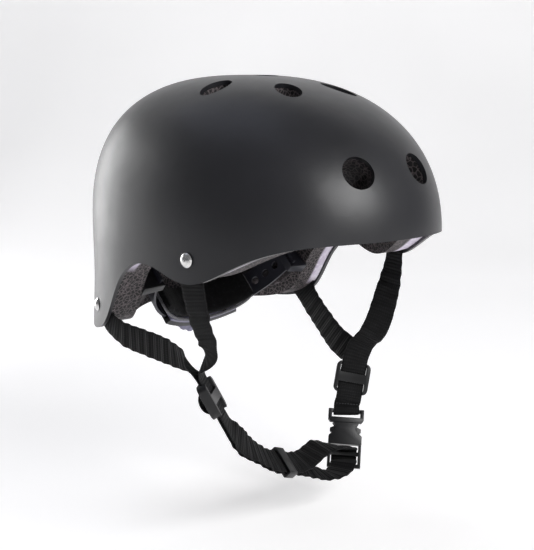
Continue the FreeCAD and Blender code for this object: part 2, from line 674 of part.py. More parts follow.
CHIN_START = [(local(GLIDES["right"], 0, 0, z), (-0.74, -0.67, 0)) for z in STRAIGHT_BELOW]
CHIN_MIDDLE = [((-69, -50.5, -134.5), (-0.8, -0.5, -0.2)), ((-50, -46.6, -149.5), (-0.5, -0.75, -0.4))]
CHIN_MIDDLE += [(local(KEEPER, 0, 0, z), (-0.35, -0.8, -0.48)) for z in (10, 6, 2, -2, -6, -10)]
CHIN_ENDS = {
    "inner": [((6, -37.5, -171), (-0.3, -0.85, -0.4)), ((26, -34, -167), (0, -0.95, -0.3)),
              ((44, -31.5, -171), (0.4, -0.9, 0)), (local(BUCKLE, 0, -5.0, 12.6), (0.748, -0.663, 0))],
    "outer": [((6, -38.5, -176), (-0.3, -0.85, -0.4)), ((24, -38, -184.5), (0, -0.95, -0.3)),
              ((42, -36, -188.5), (0.4, -0.9, 0)), (local(BUCKLE, 0, -4.2, 3.5), (0.748, -0.663, 0))],
}
chin_shift = layer_shift + 0.1
for mark, shift in (("inner", -chin_shift), ("outer", chin_shift)):
    stations = CHIN_START + CHIN_MIDDLE + CHIN_ENDS[mark]
    node(strip("chin_strap_" + mark, stations, size("web_thick"), shift), "chin_strap_" + mark)

# ---------------------------------------------------------------------------
# Tri-glides: a frame with rear bars above and below and a raised bar in front of the webbing
# ---------------------------------------------------------------------------
for mark, hand in (("right", 1), ("left", -1)):
    block = box(mark + "_glide_block", "sizes.glide_width", "sizes.glide_depth", "sizes.glide_height",
                ("-sizes.glide_width / 2", "-sizes.glide_depth / 2", "-sizes.glide_height / 2"))
    block = rounded(mark + "_glide_round", block, 4.5,
                    lambda e: abs(e.Vertexes[0].Y - e.Vertexes[-1].Y) > 1)
    room = "sizes.web_width + 0.8"
    front = box(mark + "_glide_front", room, "sizes.glide_depth", "sizes.glide_height * 2",
                ("-(%s) / 2" % room,
                 "-sizes.glide_depth / 2 + sizes.glide_bar" if hand > 0 else
                 "-sizes.glide_depth / 2 - sizes.glide_bar", "-sizes.glide_height"))
    window = box(mark + "_glide_window", room, "sizes.glide_depth * 2", "sizes.glide_height - 6",
                 ("-(%s) / 2" % room, "-sizes.glide_depth", "-sizes.glide_height / 2 + 3"))
    bar = box(mark + "_glide_bar", "sizes.web_width + 1.6", "sizes.glide_bar", 7.4,
              ("-sizes.web_width / 2 - 0.8",
               "sizes.glide_depth / 2 - sizes.glide_bar" if hand > 0 else "-sizes.glide_depth / 2", -3.7))
    opened = cut(mark + "_glide_open", cut(mark + "_glide_faced", block, front), window)
    node(fuse(mark + "_triglide", [opened, bar]), mark + "_triglide", GLIDES[mark])

# Strap keeper: a small flattened loop around both layers of the chin strap.
ring = box("keeper_block", "sizes.web_width + 4", 7.2, "sizes.keeper_length",
           ("-sizes.web_width / 2 - 2", -3.6, "-sizes.keeper_length / 2"))
ring = rounded("keeper_round", ring, 1.6, lambda e: abs(e.Vertexes[0].Z - e.Vertexes[-1].Z) > 1)
hollow = box("keeper_hollow", "sizes.web_width + 1", 4.4, 40, ("-sizes.web_width / 2 - 0.5", -2.2, -20))
node(cut("strap_keeper", ring, hollow), "strap_keeper", KEEPER)

# ---------------------------------------------------------------------------
# Buckle: local +Z runs from the ladder-lock end up to the plug's strap loop
# ---------------------------------------------------------------------------
def plate_xz(name, points, low_y, depth):
    """Flat outline in the local XZ plane, extruded along local Y."""
    corners = [Vector(x, low_y, z) for x, z in points]
    outline = feature(name + "_outline", Part.Face(Part.makePolygon(corners + corners[:1])))
    slab = doc.addObject("Part::Extrusion", name)
    slab.Base = outline
    slab.DirMode = "Custom"
    slab.Dir = Vector(0, 1, 0)
    slab.Solid = True
    slab.LengthFwd = depth
    return slab


def mirrored_outline(right_side):
    """Close an outline given for positive X with its mirror image."""
    return list(right_side) + [(-x, z) for x, z in reversed(right_side)]


WAIST = mirrored_outline([(13, 18), (13, 24.5), (10.2, 27.2), (7.8, 29.4), (7.8, 31.6), (9.4, 33.2),
                          (10.5, 35)])
socket = [plate_xz("socket_face", WAIST, -4.0, 1.6), plate_xz("socket_back", WAIST, 2.4, 1.6),
          box("socket_floor", "sizes.buckle_width", "sizes.buckle_depth - 1", 1.8,
              ("-sizes.buckle_width / 2", "-sizes.buckle_depth / 2 + 0.5", 18)),
          box("ladder_bar_low", "sizes.buckle_width - 2", 3.6, 3, ("-sizes.buckle_width / 2 + 1", -1.8, 0)),
          box("ladder_bar_high", "sizes.buckle_width - 2", 3.0, 3, ("-sizes.buckle_width / 2 + 1", -1.5, 9.5))]
for side in (-1, 1):
    low_x = "sizes.buckle_width / 2 - 2.2" if side > 0 else "-sizes.buckle_width / 2"
    socket.append(box("socket_wall_%d" % (side + 1), 2.2, "sizes.buckle_depth - 1.6", 6.5,
                      (low_x, "-sizes.buckle_depth / 2 + 0.8", 18)))
    socket.append(box("ladder_rail_%d" % (side + 1), 2.2, 4.6, 18.4, (low_x, -2.3, 0)))
node(fuse("buckle_socket", socket), "buckle_socket", BUCKLE)

plug = [plate_xz("plug_base", mirrored_outline([(12.4, 35.4), (14, 37.5), (14, 39.4)]), -2.8, 5.6),
        box("plug_bar", 28, 3.6, 3, (-14, -1.8, 43)),
        box("plug_tongue", 5.2, 3.4, 15, (-2.6, -1.7, 21))]
for side in (-1, 1):
    plug.append(box("plug_rail_%d" % (side + 1), 2.8, 4.4, 7.6, (11.2 if side > 0 else -14, -2.2, 38.4)))
node(fuse("buckle_plug", plug), "buckle_plug", BUCKLE)

PRONG = [(5.2, 35.1), (8.0, 35.1), (9.0, 32.0), (12.2, 30.5), (12.2, 28.0), (10.2, 26.4), (9.0, 23.0),
         (7.2, 23.0), (7.4, 27.0), (6.4, 31.0)]
PRONG_ROOT_X, PRONG_ROOT_Z, PRONG_ROOT_R, PRONG_ROOT_LONG = 6.8, 33.6, 1.3, 4.3
for mark, side in (("front", 1), ("back", -1)):
    blade = plate_xz(mark + "_blade", [(side * x, z) for x, z in PRONG], -1.9, 3.8)
    root = rod(mark + "_prong_root", PRONG_ROOT_R, PRONG_ROOT_LONG,
               along((0, 1, 0), (side * PRONG_ROOT_X, -PRONG_ROOT_LONG / 2, PRONG_ROOT_Z)))
    node(fuse(mark + "_prong", [blade, root]), mark + "_prong", BUCKLE)

# Doubled webbing from the left tri-glide, sewn into a loop around the plug's bar.
left_glide = GLIDES["left"]
plug_run = strip("plug_run", [(local(left_glide, 0, 0, z), (0.74, -0.67, 0)) for z in STRAIGHT_BELOW[:3]]
                 + [(local(BUCKLE, 0, 0, z), (0.748, -0.663, 0)) for z in (46.5, 43)],
                 2 * size("web_thick") + size("layer_gap"))
LOOP_LOW, LOOP_HIGH, LOOP_DEEP, LOOP_GAP = 41.4, 47.6, 6.8, 0.3
TRIM_SIDE = 60
trim_centre = LOOP_HIGH + LOOP_GAP - TRIM_SIDE / 2
plug_trim = centred_box("plug_trim", TRIM_SIDE, TRIM_SIDE, TRIM_SIDE, BUCKLE, (0, 0, trim_centre))
plug_web = cut("plug_web", plug_run, plug_trim)
loop_block = box("plug_loop_block", "sizes.web_width", LOOP_DEEP, LOOP_HIGH - LOOP_LOW,
                 ("-sizes.web_width / 2", -LOOP_DEEP / 2, LOOP_LOW))
loop_hole = box("plug_loop_hole", "2 * sizes.web_width", "%s - 2 * sizes.web_thick" % LOOP_DEEP,
                "%s - 2 * sizes.web_thick" % (LOOP_HIGH - LOOP_LOW),
                ("-sizes.web_width", "%s + sizes.web_thick" % (-LOOP_DEEP / 2),
                 "%s + sizes.web_thick" % LOOP_LOW))
loop = cut("plug_loop_open", loop_block, loop_hole)
node(plug_web, "plug_strap")
node(loop, "plug_strap_loop", BUCKLE)

# ---------------------------------------------------------------------------
# Check every object, then write one file per node
# ---------------------------------------------------------------------------
doc.recompute()
for thing in doc.Objects:
    if "Invalid" in thing.State or "Error" in thing.State:
        raise RuntimeError("failed object: %s %s" % (thing.Name, thing.State))
for thing in NODES:
    if thing.Shape.isNull() or not thing.Shape.isValid():
        raise RuntimeError("bad shape: " + thing.Label)
os.makedirs("parts", exist_ok=True)
for thing in NODES:
    thing.Shape.exportStep("parts/%s.step" % thing.Label)
    print("%-18s solids %d  volume %.0f" % (thing.Label, len(thing.Shape.Solids), thing.Shape.Volume))
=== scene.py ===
import math
import bpy
import bmesh
import numpy as np
from mathutils import Matrix, Vector


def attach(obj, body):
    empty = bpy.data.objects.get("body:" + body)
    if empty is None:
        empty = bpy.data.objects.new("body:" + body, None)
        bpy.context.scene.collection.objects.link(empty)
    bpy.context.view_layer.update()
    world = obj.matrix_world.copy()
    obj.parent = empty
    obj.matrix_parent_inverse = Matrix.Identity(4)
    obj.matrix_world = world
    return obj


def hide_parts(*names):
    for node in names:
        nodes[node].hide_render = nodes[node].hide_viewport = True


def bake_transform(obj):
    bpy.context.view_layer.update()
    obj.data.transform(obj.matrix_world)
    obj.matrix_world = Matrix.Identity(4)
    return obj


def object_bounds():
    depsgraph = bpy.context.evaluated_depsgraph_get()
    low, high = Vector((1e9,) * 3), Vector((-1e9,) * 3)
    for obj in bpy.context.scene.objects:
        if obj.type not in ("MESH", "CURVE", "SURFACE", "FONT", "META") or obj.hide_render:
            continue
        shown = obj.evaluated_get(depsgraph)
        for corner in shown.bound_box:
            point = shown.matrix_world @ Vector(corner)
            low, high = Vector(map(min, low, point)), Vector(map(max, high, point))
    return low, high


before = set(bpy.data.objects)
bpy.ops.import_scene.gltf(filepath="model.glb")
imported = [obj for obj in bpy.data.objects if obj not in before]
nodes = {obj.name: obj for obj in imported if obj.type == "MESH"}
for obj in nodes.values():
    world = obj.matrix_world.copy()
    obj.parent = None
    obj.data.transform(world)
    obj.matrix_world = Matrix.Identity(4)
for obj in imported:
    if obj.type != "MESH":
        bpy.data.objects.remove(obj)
cad_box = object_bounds()
MM = 0.001

# --- Studio: camera ---------------------------------------------------------------------------
# A product camera at eye height off the wearer's right brow, a short way above the head's level,
# with a long portrait lens, so that the near side of the shell and the hanging harness both show.
CAMERA_AT = Vector((-0.54597, -0.61894, 0.10691))
CAMERA_RIGHT = Vector((0.7485, -0.6632, 0.0))
CAMERA_UP = Vector((0.1133, 0.1279, 0.9853))
SENSOR_HEIGHT_MM, LENS_MM = 36.0, 74.0
camera_data = bpy.data.cameras.new("camera")
camera_data.sensor_fit = "VERTICAL"
camera_data.sensor_height = SENSOR_HEIGHT_MM
camera_data.lens = LENS_MM
camera = bpy.data.objects.new("camera", camera_data)
bpy.context.scene.collection.objects.link(camera)
camera_back = CAMERA_RIGHT.cross(CAMERA_UP).normalized()
turn = Matrix((CAMERA_RIGHT.normalized(), CAMERA_UP.normalized(), camera_back)).transposed()
camera.matrix_world = Matrix.Translation(CAMERA_AT) @ turn.to_4x4()
bpy.context.scene.camera = camera


def linear(hex_colour):
    """sRGB hex to linear: c/12.92 below 0.04045, otherwise ((c + 0.055) / 1.055) ^ 2.4."""
    parts = [int(hex_colour[i:i + 2], 16) / 255 for i in (1, 3, 5)]
    return tuple(c / 12.92 if c <= 0.04045 else ((c + 0.055) / 1.055) ** 2.4 for c in parts) + (1.0,)


def add(tree, kind, values=None, links=None, **settings):
    """Add one node with its settings, its unlinked input values and its incoming links."""
    node = tree.nodes.new(kind)
    for key, value in settings.items():
        setattr(node, key, value)
    for key, value in (values or {}).items():
        node.inputs[key].default_value = value
    for key, source in (links or {}).items():
        tree.links.new(source, node.inputs[key])
    return node


def start_material(name, **shader_values):
    """A material with a Principled shader set to these values; returns it, its tree and its shader."""
    material = bpy.data.materials.new(name)
    material.use_nodes = True
    tree = material.node_tree
    shader = tree.nodes["Principled BSDF"]
    for key, value in shader_values.items():
        shader.inputs[key.replace("_", " ").title().replace("Ior", "IOR")].default_value = value
    return material, tree, shader


def ramp(tree, source, stops):
    """Colour ramp over (position, hex colour) stops, fed by one socket."""
    node = add(tree, "ShaderNodeValToRGB", links={"Fac": source})
    while len(node.color_ramp.elements) < len(stops):
        node.color_ramp.elements.new(0.5)
    for element, (place, colour) in zip(node.color_ramp.elements, stops):
        element.position = place
        element.color = linear(colour)
    return node.outputs["Color"]


# --- Studio: floor and lights -----------------------------------------------------------------
# A pale paper sweep, level under the hanging buckle and rising in one curve behind, lit by large
# diffused boxes: one behind the nape, one at the brow, one overhead and one weak fill by the straps.
# The floor lies low enough for the buckle's socket to draw down off its plug above it.
FLOOR_DROP = 0.024
FLOOR_Z = cad_box[0][2] - FLOOR_DROP
SWEEP_FRONT, SWEEP_BACK, SWEEP_RADIUS, SWEEP_HALF, SWEEP_RISE = 3.0, 1.1, 0.7, 4.0, 2.5
LEVEL_SHARE, CURVE_SHARE = 0.5, 0.3
SWEEP_ROWS, SWEEP_COLUMNS = 60, 12
run = np.linspace(0, 1, SWEEP_ROWS)[:, None]
bend = np.clip((run - LEVEL_SHARE) / CURVE_SHARE, 0, 1) * math.pi / 2
level = -SWEEP_FRONT + (SWEEP_FRONT + SWEEP_BACK) * run / LEVEL_SHARE
depth = np.where(run < LEVEL_SHARE, level, SWEEP_BACK + SWEEP_RADIUS * np.sin(bend))
upright = np.clip((run - LEVEL_SHARE - CURVE_SHARE) / (1 - LEVEL_SHARE - CURVE_SHARE), 0, 1)
height = SWEEP_RADIUS * (1 - np.cos(bend)) + upright * SWEEP_RISE
side = np.linspace(-SWEEP_HALF, SWEEP_HALF, SWEEP_COLUMNS)[None, :]
away = -np.array(camera_back)[:2] / np.linalg.norm(np.array(camera_back)[:2])
across = np.array(CAMERA_RIGHT)[:2]
sweep = np.stack([depth * away[0] + side * across[0], depth * away[1] + side * across[1],
                  FLOOR_Z + height + 0 * side], -1)


def grid_faces(rows, columns, close_rows=False, close_columns=False):
    """Quads over a rows x columns grid, wrapped round in either direction where asked."""
    i = np.arange(rows if close_rows else rows - 1)[:, None]
    j = np.arange(columns if close_columns else columns - 1)[None, :]
    a, b = i * columns + j, i * columns + (j + 1) % columns
    c, d = (i + 1) % rows * columns + (j + 1) % columns, (i + 1) % rows * columns + j
    return np.stack([a, b, c, d], -1).reshape(-1, 4)


def mesh_object(name, points, faces, material=None, smooth=True, uv=None):
    """Object at the origin from point and face arrays; uv holds one pair for each point."""
    mesh = bpy.data.meshes.new(name)
    mesh.from_pydata(np.asarray(points, float).reshape(-1, 3).tolist(), [], [list(f) for f in faces])
    if uv is not None:
        loops = np.zeros(len(mesh.loops), int)
        mesh.loops.foreach_get("vertex_index", loops)
        layer = mesh.uv_layers.new(name="UVMap")
        layer.data.foreach_set("uv", np.asarray(uv, float)[loops].ravel())
    mesh.validate()
    mesh.polygons.foreach_set("use_smooth", [smooth] * len(mesh.polygons))
    piece = bpy.data.objects.new(name, mesh)
    bpy.context.scene.collection.objects.link(piece)
    if material:
        mesh.materials.append(material)
    return piece


# The paper itself shines a little from just before the helmet backwards, as lit-through paper does.
GLOW_FROM, GLOW_FULL, PAPER_GLOW = -0.55, -0.25, 0.3
PAPER_CLOUD_MM = 270
paper, tree, shader = start_material("studio_paper", base_color=linear("#f6f6f6"), roughness=0.9,
                                     emission_color=linear("#ffffff"))
place = add(tree, "ShaderNodeTexCoord").outputs["Object"]
cloud = add(tree, "ShaderNodeTexNoise", {"Scale": 1000 / PAPER_CLOUD_MM, "Detail": 4.0}, {"Vector": place})
tree.links.new(ramp(tree, cloud.outputs["Fac"], [(0.3, "#f2f1f1"), (0.7, "#f8f7f7")]),
               shader.inputs["Base Color"])
behind = add(tree, "ShaderNodeVectorMath", {1: (away[0], away[1], 0)}, {0: place},
             operation="DOT_PRODUCT")
glow = add(tree, "ShaderNodeMapRange", {"From Min": GLOW_FROM, "From Max": GLOW_FULL, "To Max": PAPER_GLOW},
           {"Value": behind.outputs["Value"]})
tree.links.new(glow.outputs["Result"], shader.inputs["Emission Strength"])
floor = mesh_object("studio_floor", sweep, grid_faces(SWEEP_ROWS, SWEEP_COLUMNS), paper)

AIR_TINT, AIR_STRENGTH = (0.95, 0.96, 1.0, 1.0), 0.18
world = bpy.data.worlds.new("studio_air")
bpy.context.scene.world = world
world.use_nodes = True
air = world.node_tree.nodes["Background"]
air.inputs["Color"].default_value = AIR_TINT
air.inputs["Strength"].default_value = AIR_STRENGTH
bpy.context.scene.view_settings.view_transform = "Standard"


def softbox(name, at, aim, width, height, power, colour="#ffffff"):
    """Rectangular area light at a place, turned towards a point."""
    light = bpy.data.lights.new(name, "AREA")
    light.shape, light.size, light.size_y, light.energy = "RECTANGLE", width, height, power
    light.color = linear(colour)[:3]
    lamp = bpy.data.objects.new(name, light)
    bpy.context.scene.collection.objects.link(lamp)
    facing = (Vector(aim) - Vector(at)).to_track_quat("-Z", "Y")
    lamp.matrix_world = Matrix.Translation(Vector(at)) @ facing.to_matrix().to_4x4()
    lamp.visible_camera = False


softbox("nape_box", (-0.33, 1.3, 0.05), (0, 0, 0), 0.8, 1.0, 11)
softbox("brow_box", (0.1, -1.55, 0.85), (0, -0.1, 0), 1.3, 0.8, 26)
softbox("overhead_box", (-0.3, 0.5, 1.45), (0, 0, 0), 1.2, 1.2, 2.5, "#e4eaff")
softbox("harness_box", (-1.1, -1.5, -0.1), (0, 0, -0.2), 0.6, 0.3, 0.9)

# --- Outer shell ------------------------------------------------------------------------------
# Injection-moulded ABS dome, 3 mm thick, with a satin charcoal finish. The satin grain comes from
# a spark-eroded mould: it spreads the highlights and keeps a faint mottle in the grey.
GRAIN_MM, WEAR_MM, MOTTLE_MM = 0.9, 17, 56
shell_abs, tree, shader = start_material("shell_satin_abs", roughness=0.34, coat_weight=0.12,
                                         coat_roughness=0.3)
place = add(tree, "ShaderNodeTexCoord").outputs["Object"]
mottle = add(tree, "ShaderNodeTexNoise", {"Scale": 1000 / MOTTLE_MM, "Detail": 5.0}, {"Vector": place})
tree.links.new(ramp(tree, mottle.outputs["Fac"], [(0.3, "#1b1b1e"), (0.7, "#222226")]),
               shader.inputs["Base Color"])
wear = add(tree, "ShaderNodeTexNoise", {"Scale": 1000 / WEAR_MM, "Detail": 3.0}, {"Vector": place})
rough = add(tree, "ShaderNodeMapRange", {"To Min": 0.36, "To Max": 0.46}, {"Value": wear.outputs["Fac"]})
tree.links.new(rough.outputs["Result"], shader.inputs["Roughness"])
grit = add(tree, "ShaderNodeTexNoise", {"Scale": 1000 / GRAIN_MM, "Detail": 2.0}, {"Vector": place})
bump = add(tree, "ShaderNodeBump", {"Strength": 0.08, "Distance": 0.0004}, {"Height": grit.outputs["Fac"]})
tree.links.new(bump.outputs["Normal"], shader.inputs["Normal"])


def finish_node(name, material):
    """Give a frame node its material in every slot."""
    for holder in nodes[name].material_slots:
        holder.link = "OBJECT"
        holder.material = material


finish_node("outer_shell", shell_abs)

# --- Strap rivets -----------------------------------------------------------------------------
# Domed steel rivets, bright zinc plate, pressed through the wall and set against a washer inside.
# Plating leaves faint cloudy patches.
PLATING_MM = 2.5
zinc, tree, shader = start_material("rivet_zinc_plate", metallic=1.0, roughness=0.22)
place = add(tree, "ShaderNodeTexCoord").outputs["Object"]
cloud = add(tree, "ShaderNodeTexNoise", {"Scale": 1000 / PLATING_MM, "Detail": 4.0}, {"Vector": place})
tree.links.new(ramp(tree, cloud.outputs["Fac"], [(0.3, "#c9cacc"), (0.7, "#eceae6")]),
               shader.inputs["Base Color"])
rough = add(tree, "ShaderNodeMapRange", {"To Min": 0.16, "To Max": 0.34}, {"Value": cloud.outputs["Fac"]})
tree.links.new(rough.outputs["Result"], shader.inputs["Roughness"])
for name in ("strap_rivets", "rivet_washers", "cover_screws", "dial_screw"):
    finish_node(name, zinc)

# --- Foam liner -------------------------------------------------------------------------------
# Expanded polystyrene moulded from steamed black beads about 3 mm across, whose creases catch the
# light. Along the brim, temple to temple, the foot of the liner gets a painted reflection: pale lavender
# colour standing in for the white floor seen at a grazing angle. The painted reflection is found by place:
# ahead of a skewed line, below the dome, facing down, and near the wall in plan, where a plan power sum of 1
# is the shell's outer face.
BEAD_MM, PIT_MM = 3.0, 1.4
BRIM_REFLECTION_BACK_Y, BRIM_REFLECTION_SKEW, BRIM_REFLECTION_INNER = 0.040, 0.12, 0.76
BRIM_REFLECTION_TOP_Z, BRIM_REFLECTION_FACING = (0.022, 0.018), (-0.3, -0.45)
LINE_SOFT, PLAN_SOFT = 0.003, 0.02
WALL_HALF_WIDTH, WALL_FRONT, WALL_CENTRE_Y, PLAN_POWER = 0.108, 0.153, 0.0155, 2.25
eps, tree, shader = start_material("liner_bead_foam", roughness=0.7)
place = add(tree, "ShaderNodeTexCoord")
beads = add(tree, "ShaderNodeTexVoronoi", {"Scale": 1000 / BEAD_MM}, {"Vector": place.outputs["Object"]},
            feature="DISTANCE_TO_EDGE")
tone = add(tree, "ShaderNodeTexVoronoi", {"Scale": 1000 / BEAD_MM}, {"Vector": place.outputs["Object"]})
split = add(tree, "ShaderNodeSeparateColor", links={"Color": tone.outputs["Color"]})
pits = add(tree, "ShaderNodeTexNoise", {"Scale": 1000 / PIT_MM, "Detail": 3.0},
           {"Vector": place.outputs["Object"]})
crease = add(tree, "ShaderNodeMapRange", {"From Max": 0.14, "To Min": 1.0, "To Max": 0.0},
             {"Value": beads.outputs["Distance"]})
crease = add(tree, "ShaderNodeMath", {}, {0: crease.outputs["Result"], 1: pits.outputs["Fac"]},
             operation="MULTIPLY")
dark_bead = ramp(tree, split.outputs[0], [(0.0, "#0e0d0e"), (1.0, "#262325")])
dark = add(tree, "ShaderNodeMix", {}, {0: crease.outputs["Value"], 6: dark_bead}, data_type="RGBA")
dark.inputs[7].default_value = linear("#8d8284")
# pale lavender colour of the painted reflection along the brim
pale = ramp(tree, split.outputs[0], [(0.0, "#c9bfd2"), (1.0, "#e6e0ec")])
spot = add(tree, "ShaderNodeSeparateXYZ", links={"Vector": place.outputs["Object"]})
facing = add(tree, "ShaderNodeSeparateXYZ", links={"Vector": place.outputs["Normal"]})
back_limit = add(tree, "ShaderNodeMath", {1: -BRIM_REFLECTION_SKEW}, {0: spot.outputs["X"], 2: spot.outputs["Y"]},
                 operation="MULTIPLY_ADD")
shares = []
for axis, middle, reach in (("X", 0.0, WALL_HALF_WIDTH), ("Y", WALL_CENTRE_Y, WALL_FRONT)):
    share = add(tree, "ShaderNodeMapRange", {"From Min": middle, "From Max": middle + reach},
                {"Value": spot.outputs[axis]}, clamp=False)
    share = add(tree, "ShaderNodeMath", {}, {0: share.outputs["Result"]}, operation="ABSOLUTE")
    share = add(tree, "ShaderNodeMath", {1: PLAN_POWER}, {0: share.outputs["Value"]}, operation="POWER")
    shares.append(share.outputs["Value"])
plan = add(tree, "ShaderNodeMath", {}, {0: shares[0], 1: shares[1]}, operation="ADD")
brim_reflection_mask = None
for (low, high), source in (
        ((BRIM_REFLECTION_BACK_Y + LINE_SOFT, BRIM_REFLECTION_BACK_Y - LINE_SOFT), back_limit.outputs["Value"]),
        (BRIM_REFLECTION_TOP_Z, spot.outputs["Z"]),
        (BRIM_REFLECTION_FACING, facing.outputs["Z"]),
        ((BRIM_REFLECTION_INNER - PLAN_SOFT, BRIM_REFLECTION_INNER + PLAN_SOFT), plan.outputs["Value"])):
    part = add(tree, "ShaderNodeMapRange", {"From Min": low, "From Max": high}, {"Value": source})
    brim_reflection_mask = part if brim_reflection_mask is None else add(tree, "ShaderNodeMath", {}, {0: brim_reflection_mask.outputs[0], 1: part.outputs[0]},
                                         operation="MULTIPLY")
# painted reflection: pale lavender mixed over the dark beads where the brim mask is set
mixed = add(tree, "ShaderNodeMix", {}, {0: brim_reflection_mask.outputs["Value"], 6: dark.outputs[2], 7: pale},
            data_type="RGBA")
tree.links.new(mixed.outputs[2], shader.inputs["Base Color"])
bump = add(tree, "ShaderNodeBump", {"Strength": 0.6, "Distance": 0.0006},
           {"Height": beads.outputs["Distance"]})
tree.links.new(bump.outputs["Normal"], shader.inputs["Normal"])
finish_node("foam_liner", eps)

# --- Hook dots --------------------------------------------------------------------------------
# Round patches of nylon hook tape glued to the foam; the comfort pads press on to them.
# The hooks stand in close rows, so the face is rough and swallows light.
HOOK_MM = 1.1
hook_tape, tree, shader = start_material("hook_tape_nylon", roughness=0.85)
place = add(tree, "ShaderNodeTexCoord").outputs["Object"]
hooks = add(tree, "ShaderNodeTexVoronoi", {"Scale": 1000 / HOOK_MM, "Randomness": 0.25}, {"Vector": place})
tree.links.new(ramp(tree, hooks.outputs["Distance"], [(0.1, "#3b3b3e"), (0.6, "#141416")]),
               shader.inputs["Base Color"])
bump = add(tree, "ShaderNodeBump", {"Strength": 0.8, "Distance": 0.0005},
           {"Height": hooks.outputs["Distance"]})
bump.invert = True
tree.links.new(bump.outputs["Normal"], shader.inputs["Normal"])
finish_node("hook_dots", hook_tape)

# --- Comfort pads -----------------------------------------------------------------------------
# Die-cut foam with a brushed melange knit laminated to it: front, crown, both sides and nape.
# The knit is charcoal with paler flecks, and the foam swells between its pinched cut edges.
FLECK_MM, PATCH_MM, KNIT_MM = 3.2, 8.3, 0.8


def knit_material(name, dark, pale, fleck, sheen=0.25):
    """Brushed melange knit: flecks of pale yarn over dark, with a soft fibre sheen."""
    material, tree, shader = start_material(name, roughness=0.95, sheen_weight=sheen, sheen_roughness=0.5,
                                            specular_ior_level=0.2)
    place = add(tree, "ShaderNodeTexCoord").outputs["Object"]
    flecks = add(tree, "ShaderNodeTexNoise", {"Scale": 1000 / FLECK_MM, "Detail": 6.0, "Roughness": 0.75},
                 {"Vector": place})
    patches = add(tree, "ShaderNodeTexNoise", {"Scale": 1000 / PATCH_MM, "Detail": 3.0}, {"Vector": place})
    summed = add(tree, "ShaderNodeMath", {1: 0.35}, {0: patches.outputs["Fac"]}, operation="MULTIPLY_ADD")
    tree.links.new(flecks.outputs["Fac"], summed.inputs[2])
    colour = ramp(tree, summed.outputs["Value"], [(0.52, dark), (0.66, dark), (0.78, fleck), (0.9, pale)])
    tree.links.new(colour, shader.inputs["Base Color"])
    knit = add(tree, "ShaderNodeTexVoronoi", {"Scale": 1000 / KNIT_MM, "Randomness": 0.6}, {"Vector": place})
    bump = add(tree, "ShaderNodeBump", {"Strength": 0.55, "Distance": 0.0006},
               {"Height": knit.outputs["Distance"]})
    bump.invert = True
    tree.links.new(bump.outputs["Normal"], shader.inputs["Normal"])
    return material


melange = knit_material("pad_melange_knit", "#2b2729", "#8f8789", "#5a5355")


def mesh_copy(name, node):
    """Object whose mesh is a merged copy of a frame node's mesh."""
    mesh = nodes[node].data.copy()
    mesh.name = name
    mesh.materials.clear()
    work = bmesh.new()
    work.from_mesh(mesh)
    bmesh.ops.remove_doubles(work, verts=work.verts, dist=1e-6)
    bmesh.ops.recalc_face_normals(work, faces=work.faces)
    work.to_mesh(mesh)
    work.free()
    piece = bpy.data.objects.new(name, mesh)
    bpy.context.scene.collection.objects.link(piece)
    return piece


def apply_modifiers(piece):
    """Replace a piece's mesh with what its modifiers make of it."""
    shown = piece.evaluated_get(bpy.context.evaluated_depsgraph_get())
    made = bpy.data.meshes.new_from_object(shown)
    piece.modifiers.clear()
    piece.data = made


def points_of(piece):
    """Vertex positions of a mesh object as an N x 3 array."""
    flat = np.zeros(len(piece.data.vertices) * 3)
    piece.data.vertices.foreach_get("co", flat)
    return flat.reshape(-1, 3)


CLOTH_STEPS = 20


def stuffed(node, material, voxel=0.0035, pressure=4.0, cap=0.0016, shrink=0.0009):
    """Padded piece: the node's shape, remeshed, drawn in a little, then blown up as cloth and capped.
    Each point's move is scaled down to the cap where it is longer."""
    piece = mesh_copy(node + "_knit", node)
    remesh = piece.modifiers.new("remesh", "REMESH")
    remesh.mode, remesh.voxel_size, remesh.use_smooth_shade = "VOXEL", voxel, True
    smooth = piece.modifiers.new("smooth", "SMOOTH")
    smooth.factor, smooth.iterations = 0.5, 4
    apply_modifiers(piece)
    start = points_of(piece)
    normals = np.zeros(len(start) * 3)
    piece.data.vertices.foreach_get("normal", normals)
    start = start - normals.reshape(-1, 3) * shrink
    piece.data.vertices.foreach_set("co", start.ravel())
    cloth = piece.modifiers.new("cloth", "CLOTH")
    cloth.settings.quality = 4
    cloth.settings.use_pressure = True
    cloth.settings.uniform_pressure_force = pressure
    cloth.settings.effector_weights.gravity = 0
    cloth.point_cache.frame_start, cloth.point_cache.frame_end = 1, CLOTH_STEPS
    for step in range(1, CLOTH_STEPS + 1):
        bpy.context.scene.frame_set(step)
    apply_modifiers(piece)
    bpy.context.scene.frame_set(1)
    moved = points_of(piece) - start
    length = np.linalg.norm(moved, axis=1, keepdims=True)
    moved *= np.minimum(1, cap / np.maximum(length, 1e-9))
    piece.data.vertices.foreach_set("co", (start + moved).ravel())
    finer = piece.modifiers.new("finer", "SUBSURF")
    finer.levels = finer.render_levels = 1
    apply_modifiers(piece)
    piece.data.materials.clear()
    piece.data.materials.append(material)
    piece.data.polygons.foreach_set("use_smooth", [True] * len(piece.data.polygons))
    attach(piece, "helmet")
    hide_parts(node)
    return piece


for name in ("front_pad", "crown_pad", "right_side_pad", "left_side_pad", "right_nape_pad", "left_nape_pad"):
    stuffed(name, melange)

# --- Rear cradle: cushion ---------------------------------------------------------------------
# A black brushed cushion on the inside of the dial cradle, where it meets the back of the head.
# Its cover is closed with a grey bound edge.
brushed_black = knit_material("cradle_brushed_knit", "#0b0b0c", "#222225", "#131315", sheen=0.06)
stuffed("cradle_pad", brushed_black)

# --- Rear cradle: plastics --------------------------------------------------------------------
# Acetal and nylon mouldings with a light spark finish: a lavender-grey housing and cover, dark
# slate bands and guides. The tone drifts slightly, and the roughness with it.
DRIFT_MM = 14


